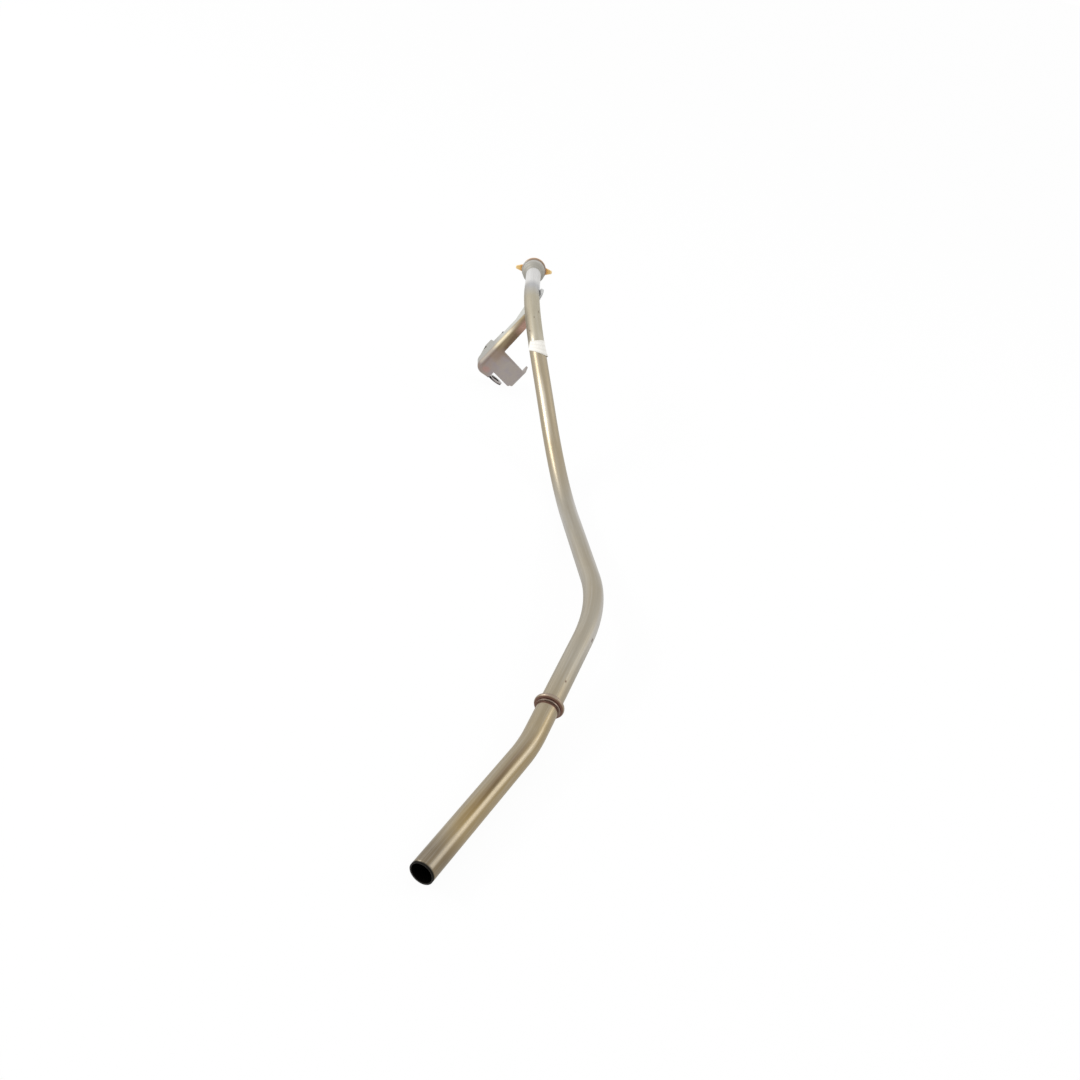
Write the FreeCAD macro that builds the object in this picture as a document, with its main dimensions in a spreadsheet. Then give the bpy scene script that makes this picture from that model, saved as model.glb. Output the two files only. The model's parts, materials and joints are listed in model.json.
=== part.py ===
import FreeCAD, Part
import math
import os
from FreeCAD import Placement, Rotation, Vector

# Oil dipstick guide tube: a thin steel tube bent four times in different planes,
# with an upset bead above its lower end, a formed bell at its mouth, a pressed
# bracket welded beside the mouth, a moulded insert in the bell and a paper label.
#
# Everything is built along the tube, starting at the open lower end with the
# first run along +Z, and is then laid down on its three points of rest.

doc = FreeCAD.newDocument("DipstickTube")
sheet = doc.addObject("Spreadsheet::Sheet", "Dimensions")

SIZES = [
    # Tube
    ("tube_radius", 6.0, "outer radius of the tube"),
    ("tube_wall", 0.8, "wall of the tube"),
    ("run_lower", 87.3, "straight run from the open lower end"),
    ("run_second", 74.1, "straight run that carries the bead"),
    ("run_third", 82.2, "long straight run"),
    ("run_fourth", 51.5, "straight run below the label"),
    ("run_mouth", 42.5, "straight run up to the bell's shoulder"),
    ("radius_first", 100.0, "centreline radius of bend 1"),
    ("radius_second", 130.0, "centreline radius of bend 2"),
    ("radius_third", 130.0, "centreline radius of bend 3"),
    ("radius_fourth", 100.0, "centreline radius of bend 4"),
    ("turn_first", 10.87, "angle of bend 1"),
    ("turn_second", 28.39, "angle of bend 2"),
    ("turn_third", 44.32, "angle of bend 3"),
    ("turn_fourth", 43.28, "angle of bend 4"),
    ("roll_second", -61.31, "turn of the tube before bend 2"),
    ("roll_third", 101.93, "turn of the tube before bend 3"),
    ("roll_fourth", 167.32, "turn of the tube before bend 4"),
    # Upset bead on the second run
    ("bead_along", 20.2, "bead's middle past the start of the second run"),
    ("bead_radius", 8.3, "outer radius of the bead"),
    ("bead_width", 3.2, "width of the bead along the tube"),
    ("step_radius", 6.9, "outer radius of the step ring under the bead"),
    ("step_width", 1.3, "width of the step ring"),
    # Bell at the mouth
    ("bell_radius", 9.0, "outer radius of the bell"),
    ("bell_length", 6.7, "straight part of the bell"),
    ("shoulder_turn", 60.0, "angle of each arc of the bell's shoulder"),
    ("rim_radius", 10.05, "outer radius of the rolled rim"),
    ("rim_width", 1.4, "thickness of the rolled rim"),
    # Mouth insert
    ("insert_play", 0.1, "clearance round the insert's sleeve"),
    ("sleeve_depth", 8.0, "depth of the sleeve in the bell"),
    ("sleeve_taper", 4.8, "depth at which the sleeve starts to taper"),
    ("sleeve_wall", 0.9, "wall of the sleeve at the mouth"),
    ("throat_radius", 5.6, "bore of the insert at its lower end"),
    ("flange_radius", 9.9, "outer radius of the insert's flange"),
    ("flange_height", 1.6, "thickness of the insert's flange"),
    ("ear_reach", 15.1, "distance from the axis to an ear's tip"),
    ("ear_base", 5.9, "width of an ear at the flange"),
    ("ear_tip", 2.6, "width of an ear at its tip"),
    ("ear_height", 2.2, "thickness of an ear"),
    ("ear_clock", 112.5, "direction of the ears round the mouth"),
    # Paper label
    ("label_below", 3.5, "part of the label below bend 4"),
    ("label_turn", 5.0, "angle of bend 4 that the label covers"),
    ("label_sheet", 0.22, "thickness of the label"),
    # Bracket
    ("sheet", 1.6, "thickness of the bracket's sheet"),
    ("fold", 1.5, "inside radius of the folds"),
    ("bracket_turn", 30.68, "angle of bend 4 below the bracket's face"),
    ("bracket_clock", -35.78, "direction of the bracket round the tube"),
    ("web_front", 5.0, "front face of the web, before the bracket's place"),
    ("side_left", 1.5, "outer face of the side flange, beside the tube's axis"),
    ("rim_depth", 10.0, "depth of the folded rim behind the web's face"),
    ("arm_depth", 8.0, "depth of the side flange along the arm"),
    ("relief", 36.5, "upper end of the rim's full depth, from the tube's axis"),
    ("rim_corner", 8.0, "outer radius of the rim's corner"),
    ("side_high", 11.0, "upper end of the web and its side flange, from the axis"),
    ("hump_depth", 16.4, "depth of the side flange's ear"),
    ("hump_low", 58.6, "lower end of the ear's top, from the tube's axis"),
    ("hump_high", 51.5, "upper end of the ear's top, from the tube's axis"),
    ("hump_slope", 7.0, "length of each slope of the ear"),
    ("hump_hole", 1.5, "radius of the hole in the ear"),
    ("base_face", 73.8, "outer face of the lower rim, from the tube's axis"),
    ("base_end", 16.0, "far end of the lower rim, across the bracket"),
    ("eye_out", 22.9, "centre of the eye, across the bracket"),
    ("eye_back", 4.6, "centre of the eye behind the web's face"),
    ("eye_lean", 16.0, "angle by which the eye's ear leans outwards"),
    ("eye_radius", 6.3, "outer radius of the eye"),
    ("eye_hole", 3.3, "radius of the eye's hole"),
    ("neck_root", 3.78, "half-width of the eye's neck at the lower rim"),
    ("neck_far", 5.04, "half-width of the neck where it meets the eye"),
    ("tab_top_near", 46.0, "tab's upper edge at the arm, from the axis"),
    ("tab_top_far", 50.7, "tab's upper edge at the lip, from the axis"),
    ("tab_low_near", 65.9, "tab's lower edge at the notch, from the axis"),
    ("tab_low_far", 68.9, "tab's lower corner, from the axis"),
    ("tab_round", 1.5, "radius of the tab's lower corner"),
    ("tab_end", 37.0, "outer face of the lip, across the bracket"),
    ("lip_depth", 13.4, "depth of the lip behind the web's face"),
    ("lip_flare", 14.0, "angle by which the lip opens outwards"),
    ("lip_knee_deep", 4.635, "depth of the knee in the lip's edge, behind the fold"),
    ("lip_knee_high", 5.845, "height of that knee above the tab's lower corner"),
    ("lip_top_high", 13.36, "height of the lip's far corner above the same corner"),
    ("arm_low", 10.4, "arm's lower edge at the tab, across the bracket"),
    ("arm_high", 9.6, "arm's lower edge by the tube, across the bracket"),
    ("arm_deep", 13.5, "depth of the side flange by the tube"),
    ("arm_slope", 10.0, "length of the slope that leads to it"),
    ("strap_near", 15.0, "strap's near edge on the tube, behind the web's face"),
    ("strap_width", 9.0, "width of the strap on the tube"),
    ("strap_wrap", 24.0, "direction in which the strap leaves the tube"),
    ("tail_length", 5.0, "rounded tail of the strap past the tube"),
    ("tail_flare", 15.0, "angle by which the tail stands off the tube"),
    # Place of rest
    ("lie_yaw", 155.427, "turn about +Z of the part at rest"),
    ("lie_pitch", -31.776, "turn about +Y of the part at rest"),
    ("lie_roll", 88.510, "turn about +X of the part at rest"),
]

for row, (alias, value, note) in enumerate(SIZES, start=1):
    sheet.set("A%d" % row, note)
    sheet.set("B%d" % row, str(value))
    sheet.setAlias("B%d" % row, alias)
doc.recompute()


def size(alias):
    """A driving dimension as a number."""
    return float(sheet.get(alias))


def bind(obj, **formulas):
    """Ties an object's properties to formulas of the sheet's dimensions."""
    for prop, formula in formulas.items():
        words = formula.split()
        tied = [w if not w[0].isalpha() or "(" in w else "Dimensions." + w for w in words]
        obj.setExpression(prop, " ".join(tied))
    return obj


def add(kind, name, place=Placement(), **formulas):
    """A primitive whose sizes are tied to the sheet."""
    obj = bind(doc.addObject("Part::" + kind, name), **formulas)
    obj.Placement = place
    return obj


def fuse(name, *shapes):
    obj = doc.addObject("Part::MultiFuse", name)
    obj.Shapes = list(shapes)
    obj.Refine = True
    return obj


def cut(name, base, tool):
    obj = doc.addObject("Part::Cut", name)
    obj.Base = base
    obj.Tool = tool
    obj.Refine = True
    return obj


def shift(x=0.0, y=0.0, z=0.0):
    return Placement(Vector(x, y, z), Rotation())


def spin(axis, degrees):
    return Placement(Vector(), Rotation(axis, degrees))


X, Y, Z = Vector(1, 0, 0), Vector(0, 1, 0), Vector(0, 0, 1)
RIGHT_ANGLE = 90
SAME_POINT = 1e-6


def outline(points):
    """Closed wire through points. A point written as (middle, end) is an arc."""
    edges = []
    here = points[0]
    for step in points[1:]:
        if isinstance(step, tuple):
            edges.append(Part.Arc(here, step[0], step[1]).toShape())
            here = step[1]
        else:
            edges.append(Part.LineSegment(here, step).toShape())
            here = step
    if here.distanceToPoint(points[0]) > SAME_POINT:
        edges.append(Part.LineSegment(here, points[0]).toShape())
    return Part.Wire(edges)


def face(name, points, place=Placement()):
    """A flat outline worked out from the sheet, for a revolve or an extrusion."""
    obj = doc.addObject("Part::Feature", name)
    obj.Shape = Part.Face(outline(points))
    obj.Placement = place
    return obj


def turned(name, points, place):
    """A solid of revolution about its own Z axis, of an outline in the XZ plane."""
    obj = doc.addObject("Part::Revolution", name)
    obj.Source = face(name + "_profile", points)
    obj.Axis = Z
    obj.Angle = 360
    obj.Placement = place
    return obj


def plate(name, points, thickness, direction, place=Placement()):
    """An outline given a thickness along a direction."""
    obj = doc.addObject("Part::Extrusion", name)
    obj.Base = face(name + "_outline", points)
    obj.DirMode = "Custom"
    obj.Dir = direction
    obj.Solid = True
    bind(obj, LengthFwd=thickness)
    obj.Placement = place
    return obj


# The tube's route. At each station +Z points along the tube, +Y is the normal
# of the bend's plane and +X points at the bend's centre.

BENDS = ["first", "second", "third", "fourth"]
RUNS = ["lower", "second", "third", "fourth", "mouth"]


def after_bend(station, radius, degrees):
    """The station at the end of an arc of this radius and angle."""
    turn = math.radians(degrees)
    step = Vector(radius * (1 - math.cos(turn)), 0, radius * math.sin(turn))
    return station * Placement(step, Rotation(Y, degrees))


def walk():
    """Stations at the start of each run and bend, and the centreline's length."""
    station = Placement()
    starts = {}
    total = 0
    for index, run in enumerate(RUNS):
        starts["run_" + run] = station
        station = station * shift(z=size("run_" + run))
        total += size("run_" + run)
        if index < len(BENDS):
            bend = BENDS[index]
            if index:
                station = station * spin(Z, size("roll_" + bend))
            starts["bend_" + bend] = station
            station = after_bend(station, size("radius_" + bend), size("turn_" + bend))
            total += size("radius_" + bend) * math.radians(size("turn_" + bend))
    starts["shoulder"] = station
    return starts, total


stations, route_length = walk()


def straight(name, station, radius, length):
    """A round bar along a straight run."""
    return add("Cylinder", name, station, Radius=radius, Height=length)


def curved(name, station, radius, bend_radius, turn):
    """A round bar along a bend."""
    centre = station * Vector(size(bend_radius), 0, 0)
    facing = Rotation(Vector(-1, 0, 0), Vector(0, 0, 1), Vector(0, 1, 0), "XYZ")
    return add("Torus", name, Placement(centre, station.Rotation * facing),
               Radius1=bend_radius, Radius2=radius, Angle3=turn)


def bent_bar(name, radius):
    """A round bar along the whole route."""
    bars = []
    for run in RUNS:
        bars.append(straight(name + "_run_" + run, stations["run_" + run], radius, "run_" + run))
    for bend in BENDS:
        bars.append(curved(name + "_bend_" + bend, stations["bend_" + bend], radius,
                           "radius_" + bend, "turn_" + bend))
    return fuse(name, *bars)


def shoulder(neck, wall_out, wall_in, turn):
    """The S of a shoulder: end of its first arc, and of its second, with middles."""
    def step(radius, degrees):
        angle = math.radians(degrees)
        return radius * (1 - math.cos(angle)), radius * math.sin(angle)

    rise, along = step(wall_out, turn)
    half_rise, half_along = step(wall_out, turn / 2)
    first = (Vector(neck + half_rise, 0, half_along), Vector(neck + rise, 0, along))
    rise_two, along_two = step(wall_in, turn)
    half_two, half_along_two = step(wall_in, turn / 2)
    top = Vector(neck + rise + rise_two, 0, along + along_two)
    middle = Vector(top.x - half_two, 0, top.z - half_along_two)
    return [first, (middle, top)]


def make_guide_tube():
    """Bent tube with its bead, step ring and bell, bored through."""
    wall = size("tube_wall")
    neck = size("tube_radius")
    bell = size("bell_radius")
    turn = size("shoulder_turn")
    arc = (bell - neck) / 2 / (1 - math.cos(math.radians(turn)))
    mouth = stations["shoulder"]
    outer_s = shoulder(neck, arc, arc, turn)
    rim_start = outer_s[-1][1].z + size("bell_length")
    lip = size("rim_width") / 2
    rim = size("rim_radius")
    skin = turned("bell_skin", [
        Vector(0, 0, 0), Vector(neck, 0, 0), *outer_s,
        Vector(bell, 0, rim_start), Vector(rim - lip, 0, rim_start),
        (Vector(rim, 0, rim_start + lip), Vector(rim - lip, 0, rim_start + 2 * lip)),
        Vector(0, 0, rim_start + 2 * lip),
    ], mouth)
    inner_s = shoulder(neck - wall, arc + wall, arc - wall, turn)
    cup = turned("bell_cup", [
        Vector(0, 0, 0), Vector(neck - wall, 0, 0), *inner_s,
        Vector(bell - wall, 0, rim_start + 3 * lip), Vector(0, 0, rim_start + 3 * lip),
    ], mouth)
    ring = stations["run_second"] * shift(z=size("bead_along"))
    half = size("bead_width") / 2
    bead = size("bead_radius")
    step = size("step_radius")
    foot = -half - size("step_width")
    upset = turned("bead_ring", [
        Vector(0, 0, foot), Vector(step, 0, foot), Vector(step, 0, -half),
        Vector(bead - half, 0, -half),
        (Vector(bead, 0, 0), Vector(bead - half, 0, half)), Vector(0, 0, half),
    ], ring)
    bar = bent_bar("tube_skin", "tube_radius")
    bore = bent_bar("tube_bore", "tube_radius - tube_wall")
    solid = fuse("tube_solid", bar, upset, skin)
    hollow = fuse("tube_hollow", bore, cup)
    return cut("guide_tube", solid, hollow), rim_start + 2 * lip


def make_mouth_insert(rim_height):
    """Moulded insert: tapered sleeve in the bell, flange on the rim and two ears."""
    seat = stations["shoulder"] * shift(z=rim_height) * spin(Z, size("ear_clock"))
    sleeve = size("bell_radius") - size("tube_wall") - size("insert_play")
    entry = sleeve - size("sleeve_wall") / 2
    top = size("flange_height")
    depth = size("sleeve_depth")
    throat = size("throat_radius")
    round_edge = top / 4
    body = turned("insert_body", [
        Vector(throat, 0, -depth), Vector(throat + size("sleeve_wall"), 0, -depth),
        Vector(sleeve, 0, -size("sleeve_taper")), Vector(sleeve, 0, 0),
        Vector(size("flange_radius"), 0, 0),
        Vector(size("flange_radius"), 0, top - round_edge),
        Vector(size("flange_radius") - round_edge, 0, top), Vector(entry, 0, top),
    ], seat)
    root = (entry + size("flange_radius")) / 2
    base, tip, reach = size("ear_base") / 2, size("ear_tip") / 2, size("ear_reach")
    ears = []
    for side, degrees in (("left", 0), ("right", 180)):
        ears.append(plate("ear_" + side, [
            Vector(root, -base, 0), Vector(reach - tip, -tip, 0),
            (Vector(reach, 0, 0), Vector(reach - tip, tip, 0)), Vector(root, base, 0),
        ], "ear_height", Z, seat * spin(Z, degrees)))
    return fuse("mouth_insert", body, *ears)


def make_paper_label():
    """A strip of paper wrapped round the tube where bend 4 starts."""
    bend = stations["bend_fourth"]
    start = bend * shift(z=-size("label_below"))

    def layer(name, radius):
        return fuse(name, straight(name + "_run", start, radius, "label_below"),
                    curved(name + "_bend", bend, radius, "radius_fourth", "label_turn"))

    return cut("paper_label", layer("label_skin", "tube_radius + label_sheet"),
               layer("label_core", "tube_radius"))


def rim_section(outer, depth):
    """Section of a folded rim: a quarter fold and a flange, outwards along +X."""
    front, sheet_in, inner = size("web_front"), size("sheet"), size("fold")
    fold_out = inner + sheet_in
    turn = math.sqrt(0.5)
    axis = Vector(outer - fold_out, 0, front - fold_out)
    return [
        axis + Vector(0, 0, fold_out),
        (axis + Vector(fold_out * turn, 0, fold_out * turn), axis + Vector(fold_out, 0, 0)),
        Vector(outer, 0, front - depth), Vector(outer - sheet_in, 0, front - depth),
        axis + Vector(inner, 0, 0),
        (axis + Vector(inner * turn, 0, inner * turn), axis + Vector(0, 0, inner)),
    ]


def make_web(front):
    """Flat web of the bracket: arm, rounded corner at its foot and the tab."""
    rear = front - size("sheet")
    fold_out = size("fold") + size("sheet")
    left, base = size("side_left"), -size("base_face")
    corner = size("rim_corner")
    round_in = corner - fold_out
    turn = math.sqrt(0.5)
    centre = Vector(left + corner, base + corner, rear)
    end = size("tab_end") - fold_out
    corner_cut = size("tab_round")
    return plate("web", [
        centre + Vector(-round_in, 0, 0),
        (centre + Vector(-round_in * turn, -round_in * turn, 0), centre + Vector(0, -round_in, 0)),
        Vector(size("base_end"), base + fold_out, rear),
        Vector(size("base_end"), -size("tab_low_near"), rear),
        Vector(end - corner_cut, -size("tab_low_far"), rear),
        (Vector(end - corner_cut * (1 - turn), -size("tab_low_far") + corner_cut * (1 - turn), rear),
         Vector(end, -size("tab_low_far") + corner_cut, rear)),
        Vector(end, -size("tab_top_far"), rear),
        Vector(size("arm_low"), -size("tab_top_near"), rear),
        Vector(size("arm_high"), -size("side_high"), rear),
        Vector(left + fold_out, -size("side_high"), rear),
    ], "sheet", Z)


def make_rim(front):
    """Rim folded back along the web's side, round its corner and along its base."""
    corner = size("rim_corner")
    centre = Vector(size("side_left") + corner, -size("base_face") + corner, 0)
    section = rim_section(corner, size("rim_depth"))
    side = plate("side_rim", rim_section(corner, size("arm_depth")),
                 "base_face - rim_corner - side_high", -Y, Placement(centre, Rotation(Z, 180)))
    bend = turned("corner_rim", section, Placement(centre, Rotation(Z, 180)))
    bend.Angle = RIGHT_ANGLE
    base = plate("base_rim", section, "base_end - side_left - rim_corner", Y,
                 Placement(centre, Rotation(Z, -90)))
    left, top = size("side_left"), -size("side_high")
    arm_back, rim_back = front - size("arm_depth"), front - size("rim_depth")
    joined = arm_back + size("sheet")
    low, high, slope = -size("hump_low"), -size("hump_high"), size("hump_slope")
    hump_back = front - size("hump_depth")
    ear = plate("side_ear", [
        Vector(left, centre.y, joined), Vector(left, centre.y, rim_back),
        Vector(left, low - slope, rim_back), Vector(left, low, hump_back),
        Vector(left, high, hump_back), Vector(left, high + slope / 2, rim_back),
        Vector(left, -size("relief"), rim_back), Vector(left, -size("relief"), joined),
    ], "sheet", X)
    arm = plate("arm_flange", [
        Vector(left, top - size("arm_slope"), joined),
        Vector(left, top - size("arm_slope"), arm_back),
        Vector(left, top, front - size("arm_deep")), Vector(left, top, joined),
    ], "sheet", X)
    return [side, bend, base, arm, ear]


def make_lip(front):
    """Lip folded back at the tab's end, opening outwards, with a raised corner."""
    fold_out = size("fold") + size("sheet")
    low = -size("tab_low_far") + size("tab_round")
    high = -size("tab_top_far") - low
    hinge = Vector(size("tab_end") - fold_out, low, front - fold_out)
    place = Placement(hinge, Rotation(Y, -size("lip_flare")))
    reach = size("lip_depth") - fold_out
    plane = plate("lip", [
        Vector(size("fold"), 0, 0),
        Vector(size("fold"), size("lip_knee_high"), -size("lip_knee_deep")),
        Vector(size("fold"), size("lip_top_high"), -reach), Vector(size("fold"), high, -reach),
        Vector(size("fold"), high, 0),
    ], "sheet", X, place)
    turn = RIGHT_ANGLE - size("lip_flare")
    outer = add("Cylinder", "lip_fold_out", Radius="fold + sheet")
    inner = add("Cylinder", "lip_fold_in", Radius="fold")
    for part in (outer, inner):
        part.Height = high
        part.Angle = turn
        part.Placement = Placement(hinge, Rotation(X, -90) * Rotation(Z, -90))
    return [plane, cut("lip_fold", outer, inner)]


def make_eye(front):
    """Leaning ear past the base's end, with a bolt eye."""
    seat = Placement(Vector(size("eye_out"), -size("base_face"), front - size("eye_back")),
                     Rotation(X, -size("eye_lean")))
    top = size("eye_back") - size("fold") - size("sheet")
    radius = size("eye_radius")
    root = size("base_end") - size("eye_out") - size("sheet")
    neck = plate("eye_neck", [
        Vector(root, 0, top), Vector(root, 0, -size("neck_root")),
        Vector(-radius / 2, 0, -size("neck_far")), Vector(-radius / 2, 0, size("neck_root")),
    ], "sheet", Y, seat)
    around = seat * Placement(Vector(), Rotation(X, -90))
    ring = add("Cylinder", "eye", around, Radius="eye_radius", Height="sheet")
    bore = add("Cylinder", "eye_bore", around * shift(z=-size("sheet")),
               Radius="eye_hole", Height="sheet * 3")
    return [neck, ring], bore


def make_strap(front):
    """Strap that leans in from the side flange, wraps the tube and ends in a tail."""
    sheet_in, tube = size("sheet"), size("tube_radius")
    foot = Vector(size("side_left"), -size("side_high"), 0)
    lean = math.degrees(math.asin(tube / foot.Length) - math.atan2(foot.x, -foot.y))
    run = math.sqrt(foot.Length ** 2 - tube ** 2)
    near = front - size("strap_near")
    far = near - size("strap_width")
    strap = plate("strap", [
        Vector(0, 0, front - size("fold") - sheet_in), Vector(0, 0, front - size("arm_deep")),
        Vector(0, run, far), Vector(0, run, near),
    ], "sheet", X, Placement(foot, Rotation(Z, -lean)))
    place = Placement(Vector(0, 0, far), Rotation(Z, -lean))
    outer = add("Cylinder", "wrap_out", place, Radius="tube_radius + sheet", Height="strap_width")
    inner = add("Cylinder", "wrap_in", place, Radius="tube_radius - sheet / 4",
                Height="strap_width")
    outer.Angle = inner.Angle = size("strap_wrap") + lean
    half, tail = size("strap_width") / 2, size("tail_length")
    end = plate("tail", [
        Vector(0, 0, -half), Vector(0, 0, half), (Vector(0, tail, 0), Vector(0, 0, -half)),
    ], "sheet", X, spin(Z, size("strap_wrap")) * shift(x=tube, z=near - half)
        * spin(Z, -size("tail_flare")))
    return [strap, cut("wrap", outer, inner), end]


def make_bracket():
    """Pressed bracket: web with its tab, folded rim, eye, lip and strap.

    In its own frame the tube's axis is Z through the origin, the web faces +Z
    and the bracket lies on the -Y side.
    """
    seat = after_bend(stations["bend_fourth"], size("radius_fourth"), size("bracket_turn"))
    seat = seat * spin(Z, size("bracket_clock")) * spin(X, 180)
    front = size("web_front")
    eye, eye_bore = make_eye(front)
    pieces = [make_web(front), *make_rim(front), *make_lip(front), *eye, *make_strap(front)]
    hole = add("Cylinder", "hump_hole", Placement(
        Vector(size("side_left") - size("sheet"), -size("hump_low"),
               front - size("hump_depth") + 2 * size("hump_hole")),
        Rotation(Y, 90)), Radius="hump_hole", Height="sheet * 3")
    blank = fuse("bracket_blank", *pieces)
    pierced = cut("bracket_pierced", blank, fuse("bracket_holes", hole, eye_bore))
    pierced.Placement = seat

    # The wrap is cut to the curve of the tube that it is welded to.
    return cut("bracket", pierced, curved(
        "weld_bar", stations["bend_fourth"], "tube_radius", "radius_fourth", "turn_fourth"))


tube, rim_height = make_guide_tube()
pieces = {
    "guide_tube": tube,
    "bracket": make_bracket(),
    "mouth_insert": make_mouth_insert(rim_height),
    "paper_label": make_paper_label(),
}
doc.recompute()


def stop_on_failure():
    """Names every object that didn't rebuild."""
    failed = [obj.Name for obj in doc.Objects
              if "Invalid" in obj.State or "Error" in obj.State
              or (hasattr(obj, "Shape") and obj.Shape.isNull())]
    if failed:
        raise RuntimeError("failed: " + ", ".join(failed))


stop_on_failure()

# Lay the part down: turn it, then set its lowest point on the floor and centre it.
turned_down = Placement(Vector(), Rotation(size("lie_yaw"), size("lie_pitch"), size("lie_roll")))
extent = FreeCAD.BoundBox()
for piece in pieces.values():
    laid = piece.Shape.copy()
    laid.Placement = turned_down * laid.Placement
    extent.add(laid.optimalBoundingBox(False, False))
lie_down = shift(-extent.Center.x, -extent.Center.y, -extent.ZMin) * turned_down
for name, piece in pieces.items():
    piece.Label = name
    piece.Placement = lie_down
doc.recompute()

stop_on_failure()
os.makedirs("parts", exist_ok=True)
for name, piece in pieces.items():
    shape = piece.Shape
    if shape.isNull() or not shape.isValid():
        raise RuntimeError("bad shape: " + name)
    shape.exportStep("parts/%s.step" % name)
    print(name, len(shape.Solids), round(shape.Volume, 1))

section = math.pi * (size("tube_radius") ** 2 - (size("tube_radius") - size("tube_wall")) ** 2)
bare = doc.getObject("tube_skin").Shape.Volume - doc.getObject("tube_bore").Shape.Volume
print("bent tube against section times length:", round(bare / (section * route_length), 4))
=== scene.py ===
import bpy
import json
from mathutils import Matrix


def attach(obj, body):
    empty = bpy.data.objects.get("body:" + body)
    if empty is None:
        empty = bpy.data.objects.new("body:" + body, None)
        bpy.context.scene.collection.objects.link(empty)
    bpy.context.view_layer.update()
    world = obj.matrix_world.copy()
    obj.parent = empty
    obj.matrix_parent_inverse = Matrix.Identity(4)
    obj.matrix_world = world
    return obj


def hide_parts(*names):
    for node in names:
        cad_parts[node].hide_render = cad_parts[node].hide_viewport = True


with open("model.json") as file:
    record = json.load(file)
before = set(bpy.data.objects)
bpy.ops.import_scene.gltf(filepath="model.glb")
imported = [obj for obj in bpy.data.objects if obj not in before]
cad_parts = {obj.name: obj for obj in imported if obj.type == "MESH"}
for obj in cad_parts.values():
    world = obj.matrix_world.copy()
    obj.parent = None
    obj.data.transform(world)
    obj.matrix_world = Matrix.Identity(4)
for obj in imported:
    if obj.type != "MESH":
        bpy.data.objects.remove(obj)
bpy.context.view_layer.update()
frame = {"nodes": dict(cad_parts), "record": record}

import json
import math
from collections import namedtuple

import bpy
import numpy as np
from mathutils import Matrix, Vector

MM = 0.001

# The tube, as it is bent: run lengths, bend radii, bend angles and the turn of
# the tube before each bend. Lengths in metres, angles in degrees.
TUBE_RADIUS = 6.0 * MM
TUBE_WALL = 0.8 * MM
RUNS = [87.3 * MM, 74.1 * MM, 82.2 * MM, 51.5 * MM, 42.5 * MM]
BEND_RADII = [100 * MM, 130 * MM, 130 * MM, 100 * MM]
BEND_TURNS = [10.87, 28.39, 44.32, 43.28]
BEND_ROLLS = [0.0, -61.31, 101.93, 167.32]
LIE_YAW, LIE_PITCH, LIE_ROLL = 155.427, -31.776, 88.510

# The bead on the second run, with the step ring under it, and the bell at the mouth.
BEAD_ALONG = 20.2 * MM
BEAD_RADIUS = 8.3 * MM
BEAD_WIDTH = 3.2 * MM
STEP_RADIUS = 6.9 * MM
STEP_WIDTH = 1.3 * MM
BELL_RADIUS = 9.0 * MM
BELL_LENGTH = 6.7 * MM
SHOULDER_DEGREES = 60
RIM_RADIUS = 10.05 * MM
RIM_WIDTH = 1.4 * MM

# The bracket's place on bend 4: degrees round the bend, then round the tube.
BRACKET_TURN, BRACKET_CLOCK = 30.68, -35.78

# The tube's skin: the radius of its broken edges, its longest step and its columns.
EDGE_CUT = 0.12 * MM
LONGEST_STEP = 1.8 * MM
TUBE_COLUMNS = 72
RIM_POINTS = 6
CUT_MARGIN = 0.05 * MM
CORNER_STEPS = 4
CORNER_SHARE = 1 / 2.1
SMOOTH_DEGREES = 20
ARC_STEPS = 14

# The label's edges from the start of bend 4, its slants and dips round the tube, and
# the angles of its ends. The near end slants from LABEL_START to LABEL_START_TOP.
LABEL_LOW, LABEL_HIGH = -0.5 * MM, 10.6 * MM
LABEL_LOW_SLANT, LABEL_HIGH_SLANT = 3.5 * MM, 0.6 * MM
LABEL_LOW_DIP, LABEL_HIGH_DIP = 2.2 * MM, 3.3 * MM
LABEL_SHEET = 0.22 * MM
LABEL_LEFT, LABEL_FRONT = math.radians(-51), math.radians(35)
LABEL_START, LABEL_START_TOP = math.radians(-58), math.radians(-8)
LABEL_END = math.radians(300)
LABEL_COLUMNS, LABEL_ROWS = 72, 9
FLAG_LIFT = 0.9 * MM
FLAG_NARROWNESS, FLAG_FALL = 12, 3

# The broken edges of the CAD pieces.
SHEET_EDGE, PLASTIC_EDGE = 0.25 * MM, 0.15 * MM
EDGE_SEGMENTS = 2
EDGE_DEGREES = 35


# Places along the tube

def turn(axis, degrees):
    """Rotation matrix about a coordinate axis."""
    return np.array(Matrix.Rotation(math.radians(degrees), 3, axis))


def round_bend(radius, angle):
    """The way from a bend's start to the point at this angle round it."""
    return np.array([radius * (1 - math.cos(angle)), 0, radius * math.sin(angle)])


LAID = turn("Z", LIE_YAW) @ turn("Y", LIE_PITCH) @ turn("X", LIE_ROLL)
MOUNTS = {m["name"]: m for m in frame["record"]["mounts"]}
START = np.array(MOUNTS["lower_end"]["pos_m"]) - LAID @ np.array([0, 0, RUNS[0] / 2])


def route_pieces():
    """Runs and bends in order: length, bend radius or 0, start point and start axes."""
    pieces = []
    point, axes = START, LAID
    for n, run in enumerate(RUNS):
        pieces.append((run, 0.0, point, axes))
        point = point + axes @ np.array([0, 0, run])
        if n < len(BEND_RADII):
            axes = axes @ turn("Z", BEND_ROLLS[n])
            radius, angle = BEND_RADII[n], math.radians(BEND_TURNS[n])
            pieces.append((radius * angle, radius, point, axes))
            point = point + axes @ round_bend(radius, angle)
            axes = axes @ turn("Y", BEND_TURNS[n])
    return pieces


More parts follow.
